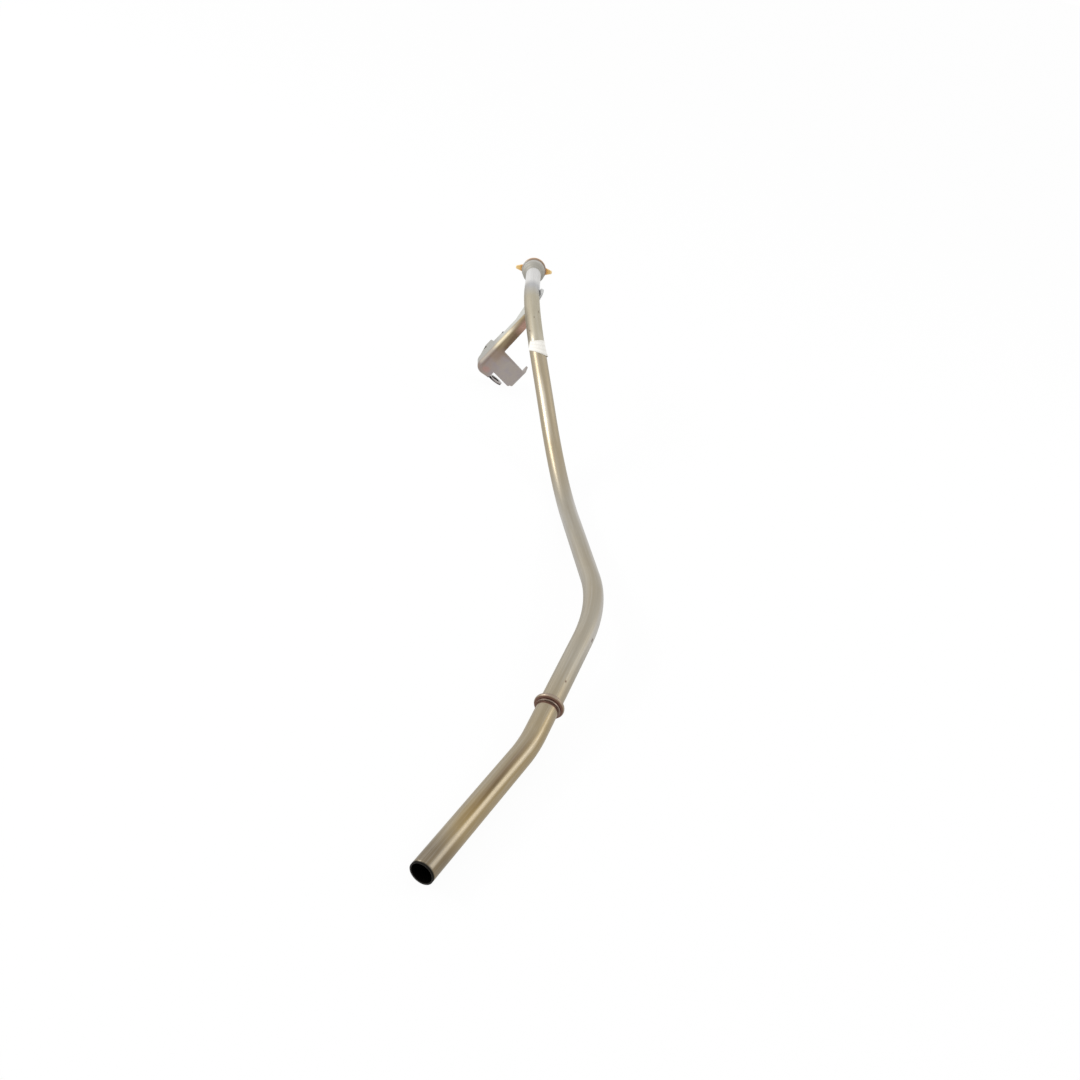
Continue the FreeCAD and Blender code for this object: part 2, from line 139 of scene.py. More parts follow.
ROUTE = route_pieces()
STARTS = np.cumsum([0.0] + [piece[0] for piece in ROUTE])
SECOND_RUN_INDEX, BEND_FOUR_INDEX, MOUTH_RUN_INDEX = 2, 7, 8
BEAD = STARTS[SECOND_RUN_INDEX] + BEAD_ALONG
BEND_FOUR = STARTS[BEND_FOUR_INDEX]
SHOULDER = STARTS[MOUTH_RUN_INDEX + 1]

# The shoulder is two arcs of radius BELL_BOW, which end where the bell runs straight.
SHOULDER_TURN = math.radians(SHOULDER_DEGREES)
BELL_BOW = (BELL_RADIUS - TUBE_RADIUS) / 2 / (1 - math.cos(SHOULDER_TURN))
BELL_START = SHOULDER + 2 * BELL_BOW * math.sin(SHOULDER_TURN)
RIM = BELL_START + BELL_LENGTH
MOUTH = RIM + RIM_WIDTH


def along(s):
    """Centre points and cross axes of the tube at distances s from its lower end.

    On a run the point moves along the axis. On a bend it moves round the bend's
    centre, which lies one bend radius off along the first cross axis. Cross axes
    keep their angle round the tube, so that a line of constant angle runs straight.
    """
    s = np.asarray(s, float)
    centre, first, second = np.zeros((3, len(s), 3))
    index = np.clip(np.searchsorted(STARTS, s, side="right") - 1, 0, len(ROUTE) - 1)
    rolled = 0.0
    for n, (_, radius, point, axes) in enumerate(ROUTE):
        here = index == n
        d = (s[here] - STARTS[n])[:, None]
        if radius:
            rolled += math.radians(BEND_ROLLS[n // 2])
            angle = d / radius
            centre[here] = point + radius * ((1 - np.cos(angle)) * axes[:, 0]
                                             + np.sin(angle) * axes[:, 2])
            side = np.cos(angle) * axes[:, 0] - np.sin(angle) * axes[:, 2]
        else:
            centre[here] = point + d * axes[:, 2]
            side = axes[:, 0]
        first[here] = math.cos(rolled) * side - math.sin(rolled) * axes[:, 1]
        second[here] = math.sin(rolled) * side + math.cos(rolled) * axes[:, 1]
    return centre, first, second


def bracket_place():
    """The bracket's origin on bend 4 and its axes: the tube runs along the third."""
    _, radius, point, axes = ROUTE[BEND_FOUR_INDEX]
    origin = point + axes @ round_bend(radius, math.radians(BRACKET_TURN))
    return origin, axes @ turn("Y", BRACKET_TURN) @ turn("Z", BRACKET_CLOCK) @ turn("X", 180)


def mouth_place():
    """The middle of the bell's rim and the axes there: the tube runs along the third."""
    _, _, point, axes = ROUTE[MOUTH_RUN_INDEX]
    return point + axes @ np.array([0, 0, MOUTH - STARTS[MOUTH_RUN_INDEX]]), axes


# Mesh making

def grid_faces(rows, columns, close_columns):
    """Quads of a grid of points whose last row joins the first; its columns may too."""
    column_count = columns if close_columns else columns - 1
    i, j = np.meshgrid(np.arange(rows), np.arange(column_count), indexing="ij")
    i2, j2 = (i + 1) % rows, (j + 1) % columns
    corners = [i2 * columns + j, i2 * columns + j2, i * columns + j2, i * columns + j]
    return np.stack([c.ravel() for c in corners], axis=1)


def new_piece(name, points, faces, material, values):
    """A smooth-shaded piece from points and quads, with values per point."""
    mesh = bpy.data.meshes.new(name)
    mesh.vertices.add(len(points))
    mesh.vertices.foreach_set("co", np.ascontiguousarray(points, float).ravel())
    mesh.loops.add(faces.size)
    mesh.loops.foreach_set("vertex_index", faces.astype(np.int32).ravel())
    mesh.polygons.add(len(faces))
    starts = np.arange(0, faces.size, faces.shape[1], dtype=np.int32)
    mesh.polygons.foreach_set("loop_start", starts)
    mesh.update(calc_edges=True)
    mesh.validate()
    mesh.polygons.foreach_set("use_smooth", np.ones(len(mesh.polygons), bool))
    for key, numbers in values.items():
        layer = mesh.attributes.new(key, "FLOAT", "POINT")
        layer.data.foreach_set("value", np.asarray(numbers, np.float32))
    mesh.materials.append(material)
    piece = bpy.data.objects.new(name, mesh)
    bpy.context.scene.collection.objects.link(piece)
    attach(piece, "root")
    return piece


def rounded(corners, cut):
    """A polyline with each sharp corner replaced by a short curve that leaves it by cut."""
    corners = [np.asarray(c, float) for c in corners]
    out = [corners[0]]
    for before, here, after in zip(corners, corners[1:], corners[2:]):
        back, fore = before - here, after - here
        back_length, fore_length = np.linalg.norm(back), np.linalg.norm(fore)
        straight = -(back @ fore) / (back_length * fore_length)
        if straight > math.cos(math.radians(SMOOTH_DEGREES)):
            out.append(here)
            continue
        reach = min(cut, back_length * CORNER_SHARE, fore_length * CORNER_SHARE)
        a = here + back / back_length * reach
        b = here + fore / fore_length * reach
        for t in np.linspace(0, 1, CORNER_STEPS):
            out.append((1 - t) ** 2 * a + 2 * t * (1 - t) * here + t * t * b)
    out.append(corners[-1])
    return np.array(out)


def divided(line, most):
    """A polyline with its long stretches divided so that none is over most."""
    parts = [line[:1]]
    for a, b in zip(line, line[1:]):
        count = max(1, int(math.ceil(np.linalg.norm(b - a) / most)))
        parts.append(a + (b - a) * np.linspace(0, 1, count + 1)[1:, None])
    return np.vstack(parts)


def arc(centre, radius, start, end):
    """Points on a circle in the (along, outward) plane; degrees from along to outward."""
    angle = np.radians(np.linspace(start, end, ARC_STEPS))
    return [np.array([centre[0] + radius * math.cos(a), centre[1] + radius * math.sin(a)])
            for a in angle]


# Shader writing

class Field:
    """A socket that takes part in Python arithmetic by adding Math nodes."""

    def __init__(self, build, socket):
        self.build = build
        self.socket = socket

    def math(self, operation, *others):
        return self.build.node("ShaderNodeMath", {"operation": operation}, (self,) + others)

    def __add__(self, other):
        return self.math("ADD", other)

    __radd__ = __add__

    def __mul__(self, other):
        return self.math("MULTIPLY", other)

    def __sub__(self, other):
        return self.math("SUBTRACT", other)

    def __rsub__(self, other):
        return (self * -1.0) + other

    def __pow__(self, other):
        return self.math("POWER", other)

    def over(self, edge, soft):
        """0 below edge, 1 above, with a ramp of width soft."""
        field = (self - (edge - soft / 2)) * (1 / soft)
        field.socket.node.use_clamp = True
        return field

    def under(self, edge, soft):
        """1 below edge, 0 above, with a ramp of width soft."""
        return 1 - self.over(edge, soft)

    def between(self, low, high, soft):
        """1 from low to high, with ramps of width soft. None leaves that end open."""
        if low is None:
            return self.under(high, soft)
        if high is None:
            return self.over(low, soft)
        return self.over(low, soft) * self.under(high, soft)

    def near(self, value, width):
        """1 at value, falling to 0 at value plus or minus width."""
        field = 1 - ((self - value).math("ABSOLUTE") * (1 / width))
        field.socket.node.use_clamp = True
        return field


class Shader:
    """A node tree under construction."""

    # The sockets of a Mix node that mixes colours: inputs, then output.
    MIX_FACTOR, MIX_A, MIX_B = 0, 6, 7
    MIX_RESULT = 2

    def __init__(self, tree):
        self.tree = tree

    def node(self, kind, settings=None, inputs=(), out=0):
        """Adds a node: settings first, then the values or links of its sockets."""
        node = self.tree.nodes.new(kind)
        for key, value in (settings or {}).items():
            setattr(node, key, value)
        pairs = inputs.items() if isinstance(inputs, dict) else enumerate(inputs)
        for key, value in pairs:
            if isinstance(value, Field):
                self.tree.links.new(value.socket, node.inputs[key])
            else:
                node.inputs[key].default_value = value
        return Field(self, node.outputs[out])

    def place(self):
        """Object coordinates."""
        return self.node("ShaderNodeTexCoord", out="Object")

    def value(self, name):
        """The value of this name that the mesh carries per point."""
        return self.node("ShaderNodeAttribute", {"attribute_name": name}, out="Fac")

    def noise(self, vector, scale, detail=3.0, rough=0.6):
        """Noise between about 0 and 1."""
        return self.node("ShaderNodeTexNoise", {}, {
            "Vector": vector, "Scale": scale, "Detail": detail, "Roughness": rough}, out="Fac")

    def within(self, origin, axes):
        """Object coordinates in millimetres in another frame, as three fields."""
        here = self.place()
        split = [self.node("ShaderNodeSeparateXYZ", {}, (here,), out=n) for n in range(3)]
        fields = []
        for axis in axes.T:
            total = -float(axis @ origin) / MM
            for part, weight in zip(split, axis):
                total = part * (float(weight) / MM) + total
            fields.append(total)
        return fields

    def join(self, x, y, z):
        """A vector of three fields."""
        return self.node("ShaderNodeCombineXYZ", {}, (x, y, z))

    def blend(self, factor, a, b):
        """Colour a turned to colour b by factor."""
        def colour(c):
            return c if isinstance(c, Field) else (*c, 1)
        return self.node("ShaderNodeMix", {"data_type": "RGBA"}, {
            self.MIX_FACTOR: factor, self.MIX_A: colour(a), self.MIX_B: colour(b)},
            out=self.MIX_RESULT)

    def seen_white(self, base, share, white_kind, output):
        """This share of white to the camera and to reflections, base to everything else."""
        camera, glossy, through = (
            self.node("ShaderNodeLightPath", out=f"Is {ray} Ray")
            for ray in ("Camera", "Glossy", "Transmission"))
        seen = camera.math("MAXIMUM", glossy).math("MAXIMUM", through) * share
        white = self.node(white_kind, {}, {"Color": (*WHITE, 1), "Strength": 1.0})
        mix = self.node("ShaderNodeMixShader", {}, (seen, base, white))
        self.tree.links.new(mix.socket, self.tree.nodes[output].inputs["Surface"])


class Finish(Shader):
    """A material under construction."""

    def __init__(self, name, **constants):
        self.material = bpy.data.materials.new(name)
        self.material.use_nodes = True
        super().__init__(self.material.node_tree)
        self.principled = self.tree.nodes["Principled BSDF"]
        for key, value in constants.items():
            self.principled.inputs[key.replace("_", " ")].default_value = value

    def drive(self, **fields):
        """Links these fields to the material's inputs of the same names."""
        for key, field in fields.items():
            self.tree.links.new(field.socket, self.principled.inputs[key.replace("_", " ")])

    def bump(self, height, distance, strength):
        """Small relief from a field."""
        normal = self.node("ShaderNodeBump", {}, {
            "Strength": strength, "Distance": distance, "Height": height}, out="Normal")
        self.drive(Normal=normal)


# Tube finish. Places along the tube, widths and softness are in millimetres, angles
# round it in degrees.

WHITE = (1, 1, 1)
OLIVE = (0.31, 0.238, 0.13)
BEIGE = (0.375, 0.345, 0.285)
TAN = (0.37, 0.31, 0.215)
SAND = (0.475, 0.44, 0.35)
GREY = (0.455, 0.455, 0.46)
PEARL = (0.65, 0.645, 0.635)
EDGE_LIGHT = (0.52, 0.50, 0.47)
SHEEN = (0.43, 0.40, 0.34)
GLOW = (0.90, 0.85, 0.75)
BROWN = (0.17, 0.11, 0.06)
UMBER = (0.13, 0.09, 0.045)
END_DARK = (0.135, 0.105, 0.075)
GOLD = (0.36, 0.25, 0.09)
BEAD_FACE_TINT_AND_SHADE = (0.13, 0.06, 0.045)
BORE_SHADE = (0.022, 0.019, 0.016)
CUT = (0.016, 0.015, 0.013)
SHADED_SIDE = (0.27, 0.235, 0.175)
BELL_TINT = (0.375, 0.36, 0.315)
RIM_BROWN_AND_SHADE = (0.35, 0.20, 0.10)
BEAD_TOP = (0.30, 0.22, 0.19)
SPECK_DARK = (0.10, 0.05, 0.035)

BEAD_MM, BEND_FOUR_MM, SHOULDER_MM = BEAD / MM, BEND_FOUR / MM, SHOULDER / MM

# The base colour's changes from OLIVE: where each is half done, over what length, to what.
Change = namedtuple("Change", "place soft colour")
CHANGES = [
    Change(BEAD_MM + 6, 50, BEIGE), Change(365, 50, TAN), Change(BEND_FOUR_MM + 4, 8, SAND),
    Change(542, 18, GREY), Change(559, 12, PEARL)]

# Stripes that run along the tube, in the order they are laid on: a colour and where it
# goes. A stripe keeps to the side that faces its angle, where the cosine of the angle
# from it is over edge. It reaches from start to end, and covers the part cover at most.
Stripe = namedtuple("Stripe", "angle edge soft start end fade cover")
STRIPES = [
    (BEIGE, [Stripe(25, 0.8, 0.5, None, BEAD_MM + 5, 70, 0.5)]),
    (BROWN, [Stripe(61, 0.975, 0.05, 30, 92, 22, 0.62)]),
    (UMBER, [Stripe(69, 0.992, 0.01, 40, 70, 16, 0.6)]),
    (GOLD, [Stripe(56, 0.90, 0.15, 22, 48, 20, 0.45)]),
    (END_DARK, [Stripe(None, None, None, None, 18, 16, 0.6)]),
    # A painted highlight along the lower run.
    (SHEEN, [Stripe(88, 0.985, 0.02, None, 100, 20, 0.35)]),
    (TAN, [Stripe(42, 0.93, 0.12, 200, 262, 40, 0.25)]),
    # Painted light: both sides of the tube made lighter along the middle runs.
    (EDGE_LIGHT, [Stripe(120, 0.93, 0.15, 172, 236, 24, 0.75),
            Stripe(98, 0.93, 0.15, 236, 350, 24, 0.75),
            Stripe(-40, 0.90, 0.15, 236, 350, 24, 0.5)]),
    # A painted highlight below the label, widening the lamp's highlight.
    (GLOW, [Stripe(22, 0.95, 0.08, 412, 452, 20, 0.4)])]

# Dark marks on the tube.
Speck = namedtuple("Speck", "place angle half_length half_width")
SPECKS = [Speck(496, 0, 0.9, 0.5), Speck(507, 44, 1.1, 0.35), Speck(514, 88, 1.6, 0.45),
          Speck(181, 120, 1.7, 0.6), Speck(142, 84, 0.9, 0.5)]

# Where the plating is rougher, and by how much.
Rough = namedtuple("Rough", "start end fade more")
TUBE_ROUGHNESS = 0.27
ROUGHER = [
    Rough(BEND_FOUR_MM + 12, None, 8, 0.26), Rough(None, 105, 20, 0.05),
    Rough(335, 482, 20, 0.04), Rough(SHOULDER_MM - 1, None, 1.6, 0.10),
    Rough(125, 300, 50, 0.16)]


def plated_tube():
    """Yellow-chromated steel: olive at the lower end, beige, then grey at the mouth, with
    drawn lines along it, a dark-red bead face, brown streaks and a gold patch near the lower
    end, a few dark specks, and painted light and shade: highlights, lighter sides, a shaded
    side, a light band by the bead, and shade on the bead face, on the rim and in the bore."""
    f = Finish("plated_tube", Metallic=1.0)
    s = f.value("along") * (1 / MM)
    east, north = f.value("east"), f.value("north")
    here = f.place()
    cloud = f.noise(here, scale=30.0, detail=4.0)
    fine = f.noise(here, scale=420.0)
    lines = f.noise(f.join(east * 1.6, north * 1.6, s * (5.0 * MM)), scale=4.0)

    def facing(degrees):
        """1 on the line of this angle round the tube, -1 on the far side."""
        angle = math.radians(degrees)
        return east * math.cos(angle) + north * math.sin(angle)

    def laid(stripe):
        """The cover of a stripe. One without an angle goes all round."""
        mask = s.between(stripe.start, stripe.end, stripe.fade)
        if stripe.angle is not None:
            mask = facing(stripe.angle).over(stripe.edge, stripe.soft) * mask
        return mask * stripe.cover

    colour = OLIVE
    for change in CHANGES:
        colour = f.blend(s.over(change.place, change.soft), colour, change.colour)
    clouded = cloud.over(0.52, 0.25) * s.under(530, 30)
    colour = f.blend(clouded * 0.22, colour, TAN)
    for tone, stripes in STRIPES:
        colour = f.blend(sum(laid(stripe) for stripe in stripes), colour, tone)
    after_bend = facing(-50).over(0.5, 0.7) * s.between(BEND_FOUR_MM + 9, None, 6)
    fade = 1 - s.over(517, 12) * 0.5
    colour = f.blend(after_bend * fade * s.under(560, 16), colour, SHADED_SIDE)
    colour = f.blend(lines.over(0.60, 0.25) * 0.11, colour, BROWN)
    colour = f.blend(lines.between(0.30, 0.42, 0.08) * 0.10, colour, PEARL)

    bell = s.over(SHOULDER_MM - 1, 1.6)
    upper_bell = s.over(SHOULDER_MM + 7, 3)
    colour = f.blend(bell * 0.85 - upper_bell * 0.3, colour, BELL_TINT)
    # One side of the rim: the plating's brown, darkened by painted shade.
    upper_rim = s.over(SHOULDER_MM + 11.6, 0.6) * facing(96).over(0.1, 0.5)
    colour = f.blend(upper_rim * 0.6, colour, RIM_BROWN_AND_SHADE)

    # The bead's near face: a red-brown tint darkened by painted shade in its hollow.
    bead_face = s.between(BEAD_MM - 4.2, BEAD_MM - 0.9, 0.5)
    colour = f.blend(bead_face * 0.9, colour, BEAD_FACE_TINT_AND_SHADE)
    # A painted reflection: a light band on the rounded step by the bead.
    bead_glint = s.between(BEAD_MM - 2.9, BEAD_MM - 2.3, 0.3) * facing(80).over(0.2, 0.5)
    colour = f.blend(bead_glint * 0.5, colour, BEIGE)
    bead_top = s.between(BEAD_MM - 0.6, BEAD_MM + 1.7, 0.6)
    colour = f.blend(bead_top * 0.55, colour, BEAD_TOP)

    for speck in SPECKS:
        lengthwise = ((s - speck.place) * (1 / speck.half_length)) ** 2
        sharpness = 2 * (TUBE_RADIUS / MM / speck.half_width) ** 2
        off = lengthwise + (1 - facing(speck.angle)) * sharpness
        colour = f.blend(off.under(1.0, 0.9) * 0.75, colour, SPECK_DARK)
    colour = f.blend(f.value("cut_face").over(0.5, 0.4), colour, CUT)
    # The bore: painted shade, near-black all the way inside.
    colour = f.blend(f.value("inside").over(0.5, 0.2), colour, BORE_SHADE)

    rough = TUBE_ROUGHNESS + fine * 0.06 + cloud * 0.12
    for part in ROUGHER:
        rough = rough + s.between(part.start, part.end, part.fade) * part.more
    f.drive(Base_Color=colour, Roughness=rough)
    f.bump(lines * 0.7 + fine * 0.3, distance=0.03 * MM, strength=0.10)
    return f.material


# Bracket finish

TAB_BROWN = (0.31, 0.24, 0.195)
TAB_GREY = (0.365, 0.325, 0.295)
LAVENDER = (0.30, 0.27, 0.33)
PEACH = (0.42, 0.36, 0.30)
ARM_BROWN_AND_DARK_REFLECTION = (0.18, 0.125, 0.08)
ARM_LIT_SIDE = (0.35, 0.28, 0.17)
ARM_COPPER = (0.50, 0.31, 0.25)
RED = (0.60, 0.16, 0.15)
FOLD_SHADE = (0.22, 0.16, 0.10)
FOLD_HIGHLIGHT_BEIGE = (0.50, 0.45, 0.38)
FOLD_HIGHLIGHT_GOLD = (0.95, 0.85, 0.62)
CORNER_BROWN = (0.27, 0.19, 0.13)
FLANGE_LIT_GREY = (0.42, 0.41, 0.375)
FLANGE_LIT_PALE = (0.58, 0.58, 0.54)
SLIT_SHADE = (0.04, 0.03, 0.03)
EYE_SHADE = (0.045, 0.038, 0.036)
EYE_HIGHLIGHT = (0.70, 0.66, 0.63)
TAIL_GREY = (0.60, 0.60, 0.59)

EYE_X, EYE_Z = 22.9, 0.4
RED_X, RED_Y = 9.5, -67.5
FLANGE_X = 3.4


def plated_sheet():
    """The bracket's plating in its own frame in millimetres: x across, y up the arm,
    z towards the web's face. Lavender tab and a brown arm, with painted light and shade: a
    gold highlight along the fold, dark reflection on the arm, light on its side and on the
    flange, and shade in the slit and the eye."""
    f = Finish("plated_sheet", Metallic=1.0)
    x, y, z = f.within(*bracket_place())
    here = f.place()
    cloud = f.noise(here, scale=120.0, detail=4.0)
    broad = f.noise(here, scale=55.0, rough=0.5)
    fine = f.noise(here, scale=700.0)

    colour = f.blend(x.over(12, 14), TAB_BROWN, TAB_GREY)
    colour = f.blend(cloud.over(0.52, 0.2) * 0.35, colour, LAVENDER)
    colour = f.blend(broad.over(0.55, 0.2) * 0.25, colour, PEACH)
    # The arm: brown, darkened as a painted dark reflection, with painted light on its side at
    # the fold.
    arm = y.over(-46, 8)
    colour = f.blend(arm, colour, ARM_BROWN_AND_DARK_REFLECTION)
    arm_lit_side = (x + y * 0.12).under(1.6, 3.2)
    colour = f.blend(arm * arm_lit_side * 0.9, colour, ARM_LIT_SIDE)
    colour = f.blend(y.over(-24, 8) * x.over(4.2, 3) * 0.75, colour, ARM_COPPER)
    red = (((x - RED_X) * 0.28) ** 2 + ((y - RED_Y) * 0.34) ** 2).under(0.8, 1.2)
    colour = f.blend(red * 0.18, colour, RED)

    # Painted shade beside the fold and a painted highlight along it, gold in the middle.
    along_fold = z.over(1.9, 1.2) * y.under(-22, 12) * y.over(-66, 3)
    colour = f.blend(x.near(4.6, 1.6) * along_fold * 0.45, colour, FOLD_SHADE)
    fold_highlight = f.blend(y.between(-47, -27, 8), FOLD_HIGHLIGHT_BEIGE, FOLD_HIGHLIGHT_GOLD)
    colour = f.blend(x.near(2.4, 1.5) * along_fold * 0.95, colour, fold_highlight)
    # Browner just below the arm's inner corner.
    corner = x.between(6.0, 11.5, 3.0) * y.between(-56, -46, 6.0) * z.over(2.5, 1.0)
    colour = f.blend(corner * 0.5, colour, CORNER_BROWN)

    # The flange: made lighter as painted light on the face turned to the lamps.
    edge = x.under(FLANGE_X, 0.6)
    flange_lit_colour = f.blend(y.over(-42, 12), FLANGE_LIT_GREY, FLANGE_LIT_PALE)
    colour = f.blend(z.under(2.2, 1.6) * edge, colour, flange_lit_colour)
    # Painted shade on the slit's inner wall.
    slit_shade = z.under(-3.2, 0.6) * y.between(-38.2, -35.9, 0.5) * edge
    colour = f.blend(slit_shade * 0.9, colour, SLIT_SHADE)
    # The eye: painted shade, with a painted highlight round its edge.
    eye = x.over(15.2, 0.8) * y.under(-71.5, 0.8)
    colour = f.blend(eye, colour, EYE_SHADE)
    away = ((x - EYE_X) ** 2 + (z - EYE_Z) ** 2) ** 0.5
    colour = f.blend(eye * away.between(4.2, 5.6, 0.5) * 0.9, colour, EYE_HIGHLIGHT)
    tail = y.over(-2.0, 1.0)
    colour = f.blend(tail, colour, TAIL_GREY)

    f.drive(Base_Color=colour, Roughness=0.34 + fine * 0.10 + cloud * 0.10 + tail * 0.25)
    f.bump(fine, distance=0.03 * MM, strength=0.4)
    return f.material


# Insert and label finishes

PLASTIC = (0.72, 0.40, 0.09)
PLASTIC_TIP = (0.88, 0.66, 0.32)
PLASTIC_ROOT_SHADE = (0.45, 0.18, 0.07)
PLASTIC_GRAIN = (0.90, 0.62, 0.20)
PAPER = (0.84, 0.82, 0.77)
PAPER_RIB = (0.66, 0.63, 0.57)
PAPER_BLOT = (0.70, 0.64, 0.52)
PAPER_EDGE_DARK = (0.48, 0.44, 0.36)
LABEL_RIBS = 3.6


def yellow_plastic():
    """Moulded orange-yellow plastic: paler tips, and painted red-brown shade where the ears
    leave the flange.
    """
    f = Finish("yellow_plastic")
    x, y, _ = f.within(*mouth_place())
    fine = f.noise(f.place(), scale=600.0)
    out = (x ** 2 + y ** 2) ** 0.5
    colour = f.blend(out.over(13.0, 4.0), PLASTIC, PLASTIC_TIP)
    # Painted shade at the roots of the ears.
    colour = f.blend(out.between(9.2, 11.0, 0.8) * 0.6, colour, PLASTIC_ROOT_SHADE)
    colour = f.blend(fine * 0.15, colour, PLASTIC_GRAIN)
    f.drive(Base_Color=colour, Roughness=0.38 + fine * 0.1)
    f.bump(fine, distance=0.04 * MM, strength=0.4)
    return f.material


def label_paper():
    """Ivory paper with faint ribs round the tube, soft fibres and thin darker edges."""
    f = Finish("label_paper")
    across = f.value("across")
    here = f.place()
    fibre = f.noise(here, scale=900.0)
    blot = f.noise(here, scale=160.0)
    rib = (across * (2 * math.pi * LABEL_RIBS)).math("SINE")
    colour = f.blend(rib.over(0.45, 0.6) * 0.28, PAPER, PAPER_RIB)
    colour = f.blend(blot.over(0.58, 0.15) * 0.20, colour, PAPER_BLOT)
    # Darker along both edges.
    edge = 1 - across.between(0.05, 0.95, 0.06)
    colour = f.blend(edge * 0.35, colour, PAPER_EDGE_DARK)
    f.drive(Base_Color=colour, Roughness=0.62 + fibre * 0.2)
    f.bump(fibre * 0.5 + rib * 0.5, distance=0.1 * MM, strength=0.5)
    return f.material


# Pieces

def tube_profile():
    """Outer line from the lower end to the rim, and inner line back: (along, outward)."""
    half = BEAD_WIDTH / 2
    lip = RIM_WIDTH / 2
    degrees = SHOULDER_DEGREES
    outer = [(0.0, TUBE_RADIUS), (BEAD - half - STEP_WIDTH, TUBE_RADIUS),
             (BEAD - half - STEP_WIDTH, STEP_RADIUS), (BEAD - half, STEP_RADIUS),
             (BEAD - half, BEAD_RADIUS - half)]
    outer += arc((BEAD, BEAD_RADIUS - half), half, 180, 0)[1:]
    outer += [(BEAD + half, TUBE_RADIUS)]
    outer += arc((SHOULDER, TUBE_RADIUS + BELL_BOW), BELL_BOW, -90, -90 + degrees)
    outer += arc((BELL_START, BELL_RADIUS - BELL_BOW), BELL_BOW, 90 + degrees, 90)[1:]
    outer += [(RIM, BELL_RADIUS), (RIM, RIM_RADIUS - lip)]
    outer += arc((RIM + lip, RIM_RADIUS - lip), lip, 180, 0)[1:]
    bore = TUBE_RADIUS - TUBE_WALL
    inner = [(MOUTH, BELL_RADIUS - TUBE_WALL)]
    inner += arc((BELL_START, BELL_RADIUS - BELL_BOW), BELL_BOW - TUBE_WALL, 90, 90 + degrees)
    inner += arc((SHOULDER, TUBE_RADIUS + BELL_BOW), BELL_BOW + TUBE_WALL,
                 -90 + degrees, -90)[1:]
    inner += [(0.0, bore)]
    return outer, inner


def tube_piece(material):
    """The tube as its profile carried along the route: each profile point (s, r) goes
    to centre(s) + r cos(a) first(s) + r sin(a) second(s), for the angle a all round."""
    outer, inner = tube_profile()
    line = divided(rounded(outer + inner + outer[:1], EDGE_CUT), LONGEST_STEP)[:-1]
    place, out = line.T
    around = np.linspace(0, 2 * math.pi, TUBE_COLUMNS, endpoint=False)
    centre, first, second = along(place)
    points = centre[:, None] + out[:, None, None] * (
        np.cos(around)[None, :, None] * first[:, None]
        + np.sin(around)[None, :, None] * second[:, None])
    inside = np.arange(len(line)) > np.argmax(place) + RIM_POINTS
    cut_face = (place < CUT_MARGIN) & (out > TUBE_RADIUS - TUBE_WALL - CUT_MARGIN)
    shape = points.shape[:2]
    values = {"along": place[:, None], "east": np.cos(around), "north": np.sin(around),
              "cut_face": cut_face[:, None], "inside": inside[:, None]}
    piece = new_piece("guide_tube_skin", points.reshape(-1, 3),
                      grid_faces(*shape, close_columns=True), material,
                      {key: np.broadcast_to(value, shape).ravel()
                       for key, value in values.items()})
    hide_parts("guide_tube")
    return piece


def label_piece(material):
    """Paper shell round the tube between two slanting edges: at angle a it runs from
    s = low + slant cos(a - left) - dip cos(a - front) to the same with the high edge's
    sizes. Its ends thin out on the tube, the near one cut on a slant, and the paper
    lifts off the tube at its low right corner."""
    share = np.linspace(0, 1, LABEL_COLUMNS)
    thin = np.clip(np.minimum(share, 1 - share) * LABEL_COLUMNS / 2, 0, 1)
    steps = np.linspace(0, 1, LABEL_ROWS)
    rows = []
    values = []
    for part, lift in ((steps, LABEL_SHEET), (steps[::-1], 0.0)):
        for t in part:
            near_end = LABEL_START + (LABEL_START_TOP - LABEL_START) * t
            around = near_end + (LABEL_END - near_end) * share
            aslant, ahead = np.cos(around - LABEL_LEFT), np.cos(around - LABEL_FRONT)
            low = BEND_FOUR + LABEL_LOW + LABEL_LOW_SLANT * aslant - LABEL_LOW_DIP * ahead
            high = BEND_FOUR + LABEL_HIGH + LABEL_HIGH_SLANT * aslant - LABEL_HIGH_DIP * ahead
            flag = FLAG_LIFT * np.clip(-aslant, 0, 1) ** FLAG_NARROWNESS * (1 - t) ** FLAG_FALL
            centre, first, second = along(low + (high - low) * t)
            radius = (TUBE_RADIUS + lift * thin + flag)[:, None]
            rows.append(centre + radius * (np.cos(around)[:, None] * first
                                           + np.sin(around)[:, None] * second))
            values.append(np.full(LABEL_COLUMNS, t))
    faces = grid_faces(len(rows), LABEL_COLUMNS, close_columns=False)
    piece = new_piece("paper_label_skin", np.vstack(rows), faces, material,
                      {"across": np.concatenate(values)})
    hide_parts("paper_label")
    return piece


def dress(node, material, edge):
    """Gives a CAD node its finish and breaks its sharp edges."""
    obj = frame["nodes"][node]
    bevel = obj.modifiers.new("edges", "BEVEL")
    bevel.width = edge
    bevel.segments = EDGE_SEGMENTS
    bevel.limit_method = "ANGLE"
    bevel.angle_limit = math.radians(EDGE_DEGREES)
    bevel.use_clamp_overlap = True
    for place in obj.material_slots:
        place.material = material
    if not obj.material_slots:
        obj.data.materials.append(material)


# Studio. Places and sizes in metres, angles in degrees, lamp power in watts.

CAMERA_PLACE = (-0.05389, -0.58815, 0.37865)
CAMERA_AZIMUTH = 6.643
CAMERA_ELEVATION = 32.497
CAMERA_ROLL = 17.335
CAMERA_LENS, CAMERA_SENSOR = 36, 36
CAMERA_NEAR = 0.01

FLOOR_HALF = 30.0
FLOOR_GREY = 0.9
FLOOR_ROUGHNESS = 0.8
FLOOR_WHITE_SHARE = 0.95
WORLD_STRENGTH = 0.85
WORLD_WHITE_SHARE = 1.0

Lamp = namedtuple("Lamp", "name place target size power")
LAMPS = [Lamp("left_box", (-1.15, 0.15, 0.72), (0, 0.1, 0.03), (1.0, 0.22), 8.5),
         Lamp("right_box", (0.88, 0.16, 0.70), (0, -0.22, 0.02), (0.45, 0.20), 1.7)]


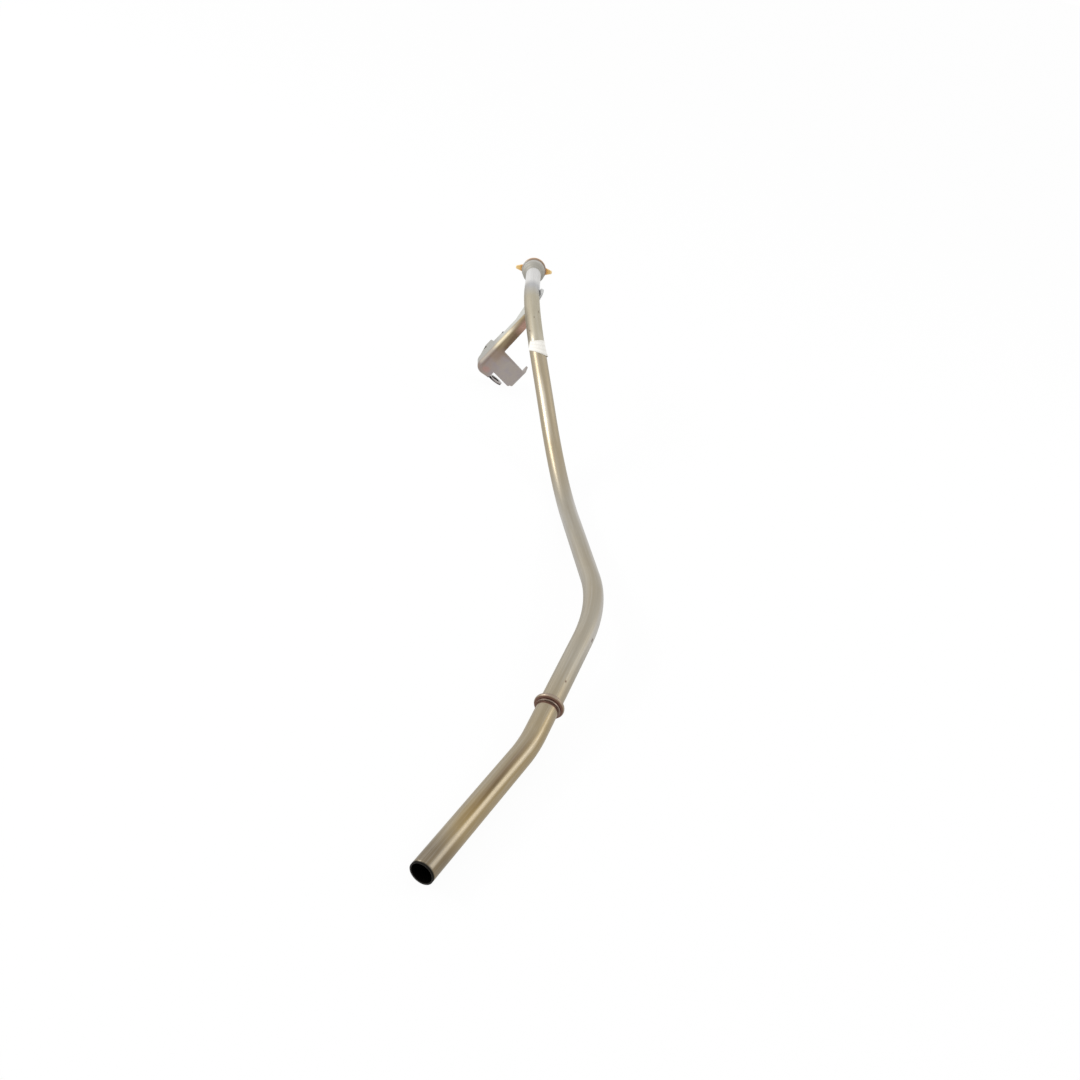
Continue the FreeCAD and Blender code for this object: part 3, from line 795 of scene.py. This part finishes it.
def set_camera():
    """The photograph's view: 36 mm lens on a 36 mm square frame, rolled to the left."""
    data = bpy.data.cameras.new("view")
    data.lens = CAMERA_LENS
    data.sensor_width = CAMERA_SENSOR
    data.clip_start = CAMERA_NEAR
    camera = bpy.data.objects.new("view", data)
    aim = (Matrix.Rotation(math.radians(-CAMERA_AZIMUTH), 4, "Z")
           @ Matrix.Rotation(math.radians(90 - CAMERA_ELEVATION), 4, "X")
           @ Matrix.Rotation(math.radians(CAMERA_ROLL), 4, "Z"))
    camera.matrix_world = Matrix.Translation(CAMERA_PLACE) @ aim
    bpy.context.scene.collection.objects.link(camera)
    bpy.context.scene.camera = camera


def set_floor():
    """Pale floor under the object, white to the camera but for the shadows."""
    f = Finish("floor", Base_Color=(FLOOR_GREY, FLOOR_GREY, FLOOR_GREY, 1),
               Roughness=FLOOR_ROUGHNESS)
    f.seen_white(Field(f, f.principled.outputs[0]), FLOOR_WHITE_SHARE,
                 "ShaderNodeEmission", "Material Output")
    mesh = bpy.data.meshes.new("floor")
    low, high = -FLOOR_HALF, FLOOR_HALF
    mesh.from_pydata([(low, low, 0), (high, low, 0), (high, high, 0), (low, high, 0)],
                     [], [(0, 1, 2, 3)])
    mesh.materials.append(f.material)
    floor = bpy.data.objects.new("floor", mesh)
    bpy.context.scene.collection.objects.link(floor)


def set_world():
    """An even white surround, plain white to the camera."""
    world = bpy.data.worlds.new("studio")
    bpy.context.scene.world = world
    world.use_nodes = True
    base = world.node_tree.nodes["Background"]
    base.inputs["Color"].default_value = (*WHITE, 1)
    base.inputs["Strength"].default_value = WORLD_STRENGTH
    f = Shader(world.node_tree)
    f.seen_white(Field(f, base.outputs[0]), WORLD_WHITE_SHARE,
                 "ShaderNodeBackground", "World Output")


def set_lamp(lamp):
    """A rectangular lamp that points at its target."""
    data = bpy.data.lights.new(lamp.name, "AREA")
    data.shape = "RECTANGLE"
    data.size, data.size_y = lamp.size
    data.energy = lamp.power
    light = bpy.data.objects.new(lamp.name, data)
    light.location = lamp.place
    aim = Vector(lamp.target) - Vector(lamp.place)
    light.rotation_euler = aim.to_track_quat("-Z", "Y").to_euler()
    bpy.context.scene.collection.objects.link(light)


def build():
    """The whole scene: pieces, finishes and studio."""
    tube_piece(plated_tube())
    label_piece(label_paper())
    dress("bracket", plated_sheet(), SHEET_EDGE)
    dress("mouth_insert", yellow_plastic(), PLASTIC_EDGE)
    set_floor()
    set_world()
    for lamp in LAMPS:
        set_lamp(lamp)
    set_camera()
    bpy.context.scene.view_settings.view_transform = "Standard"


build()
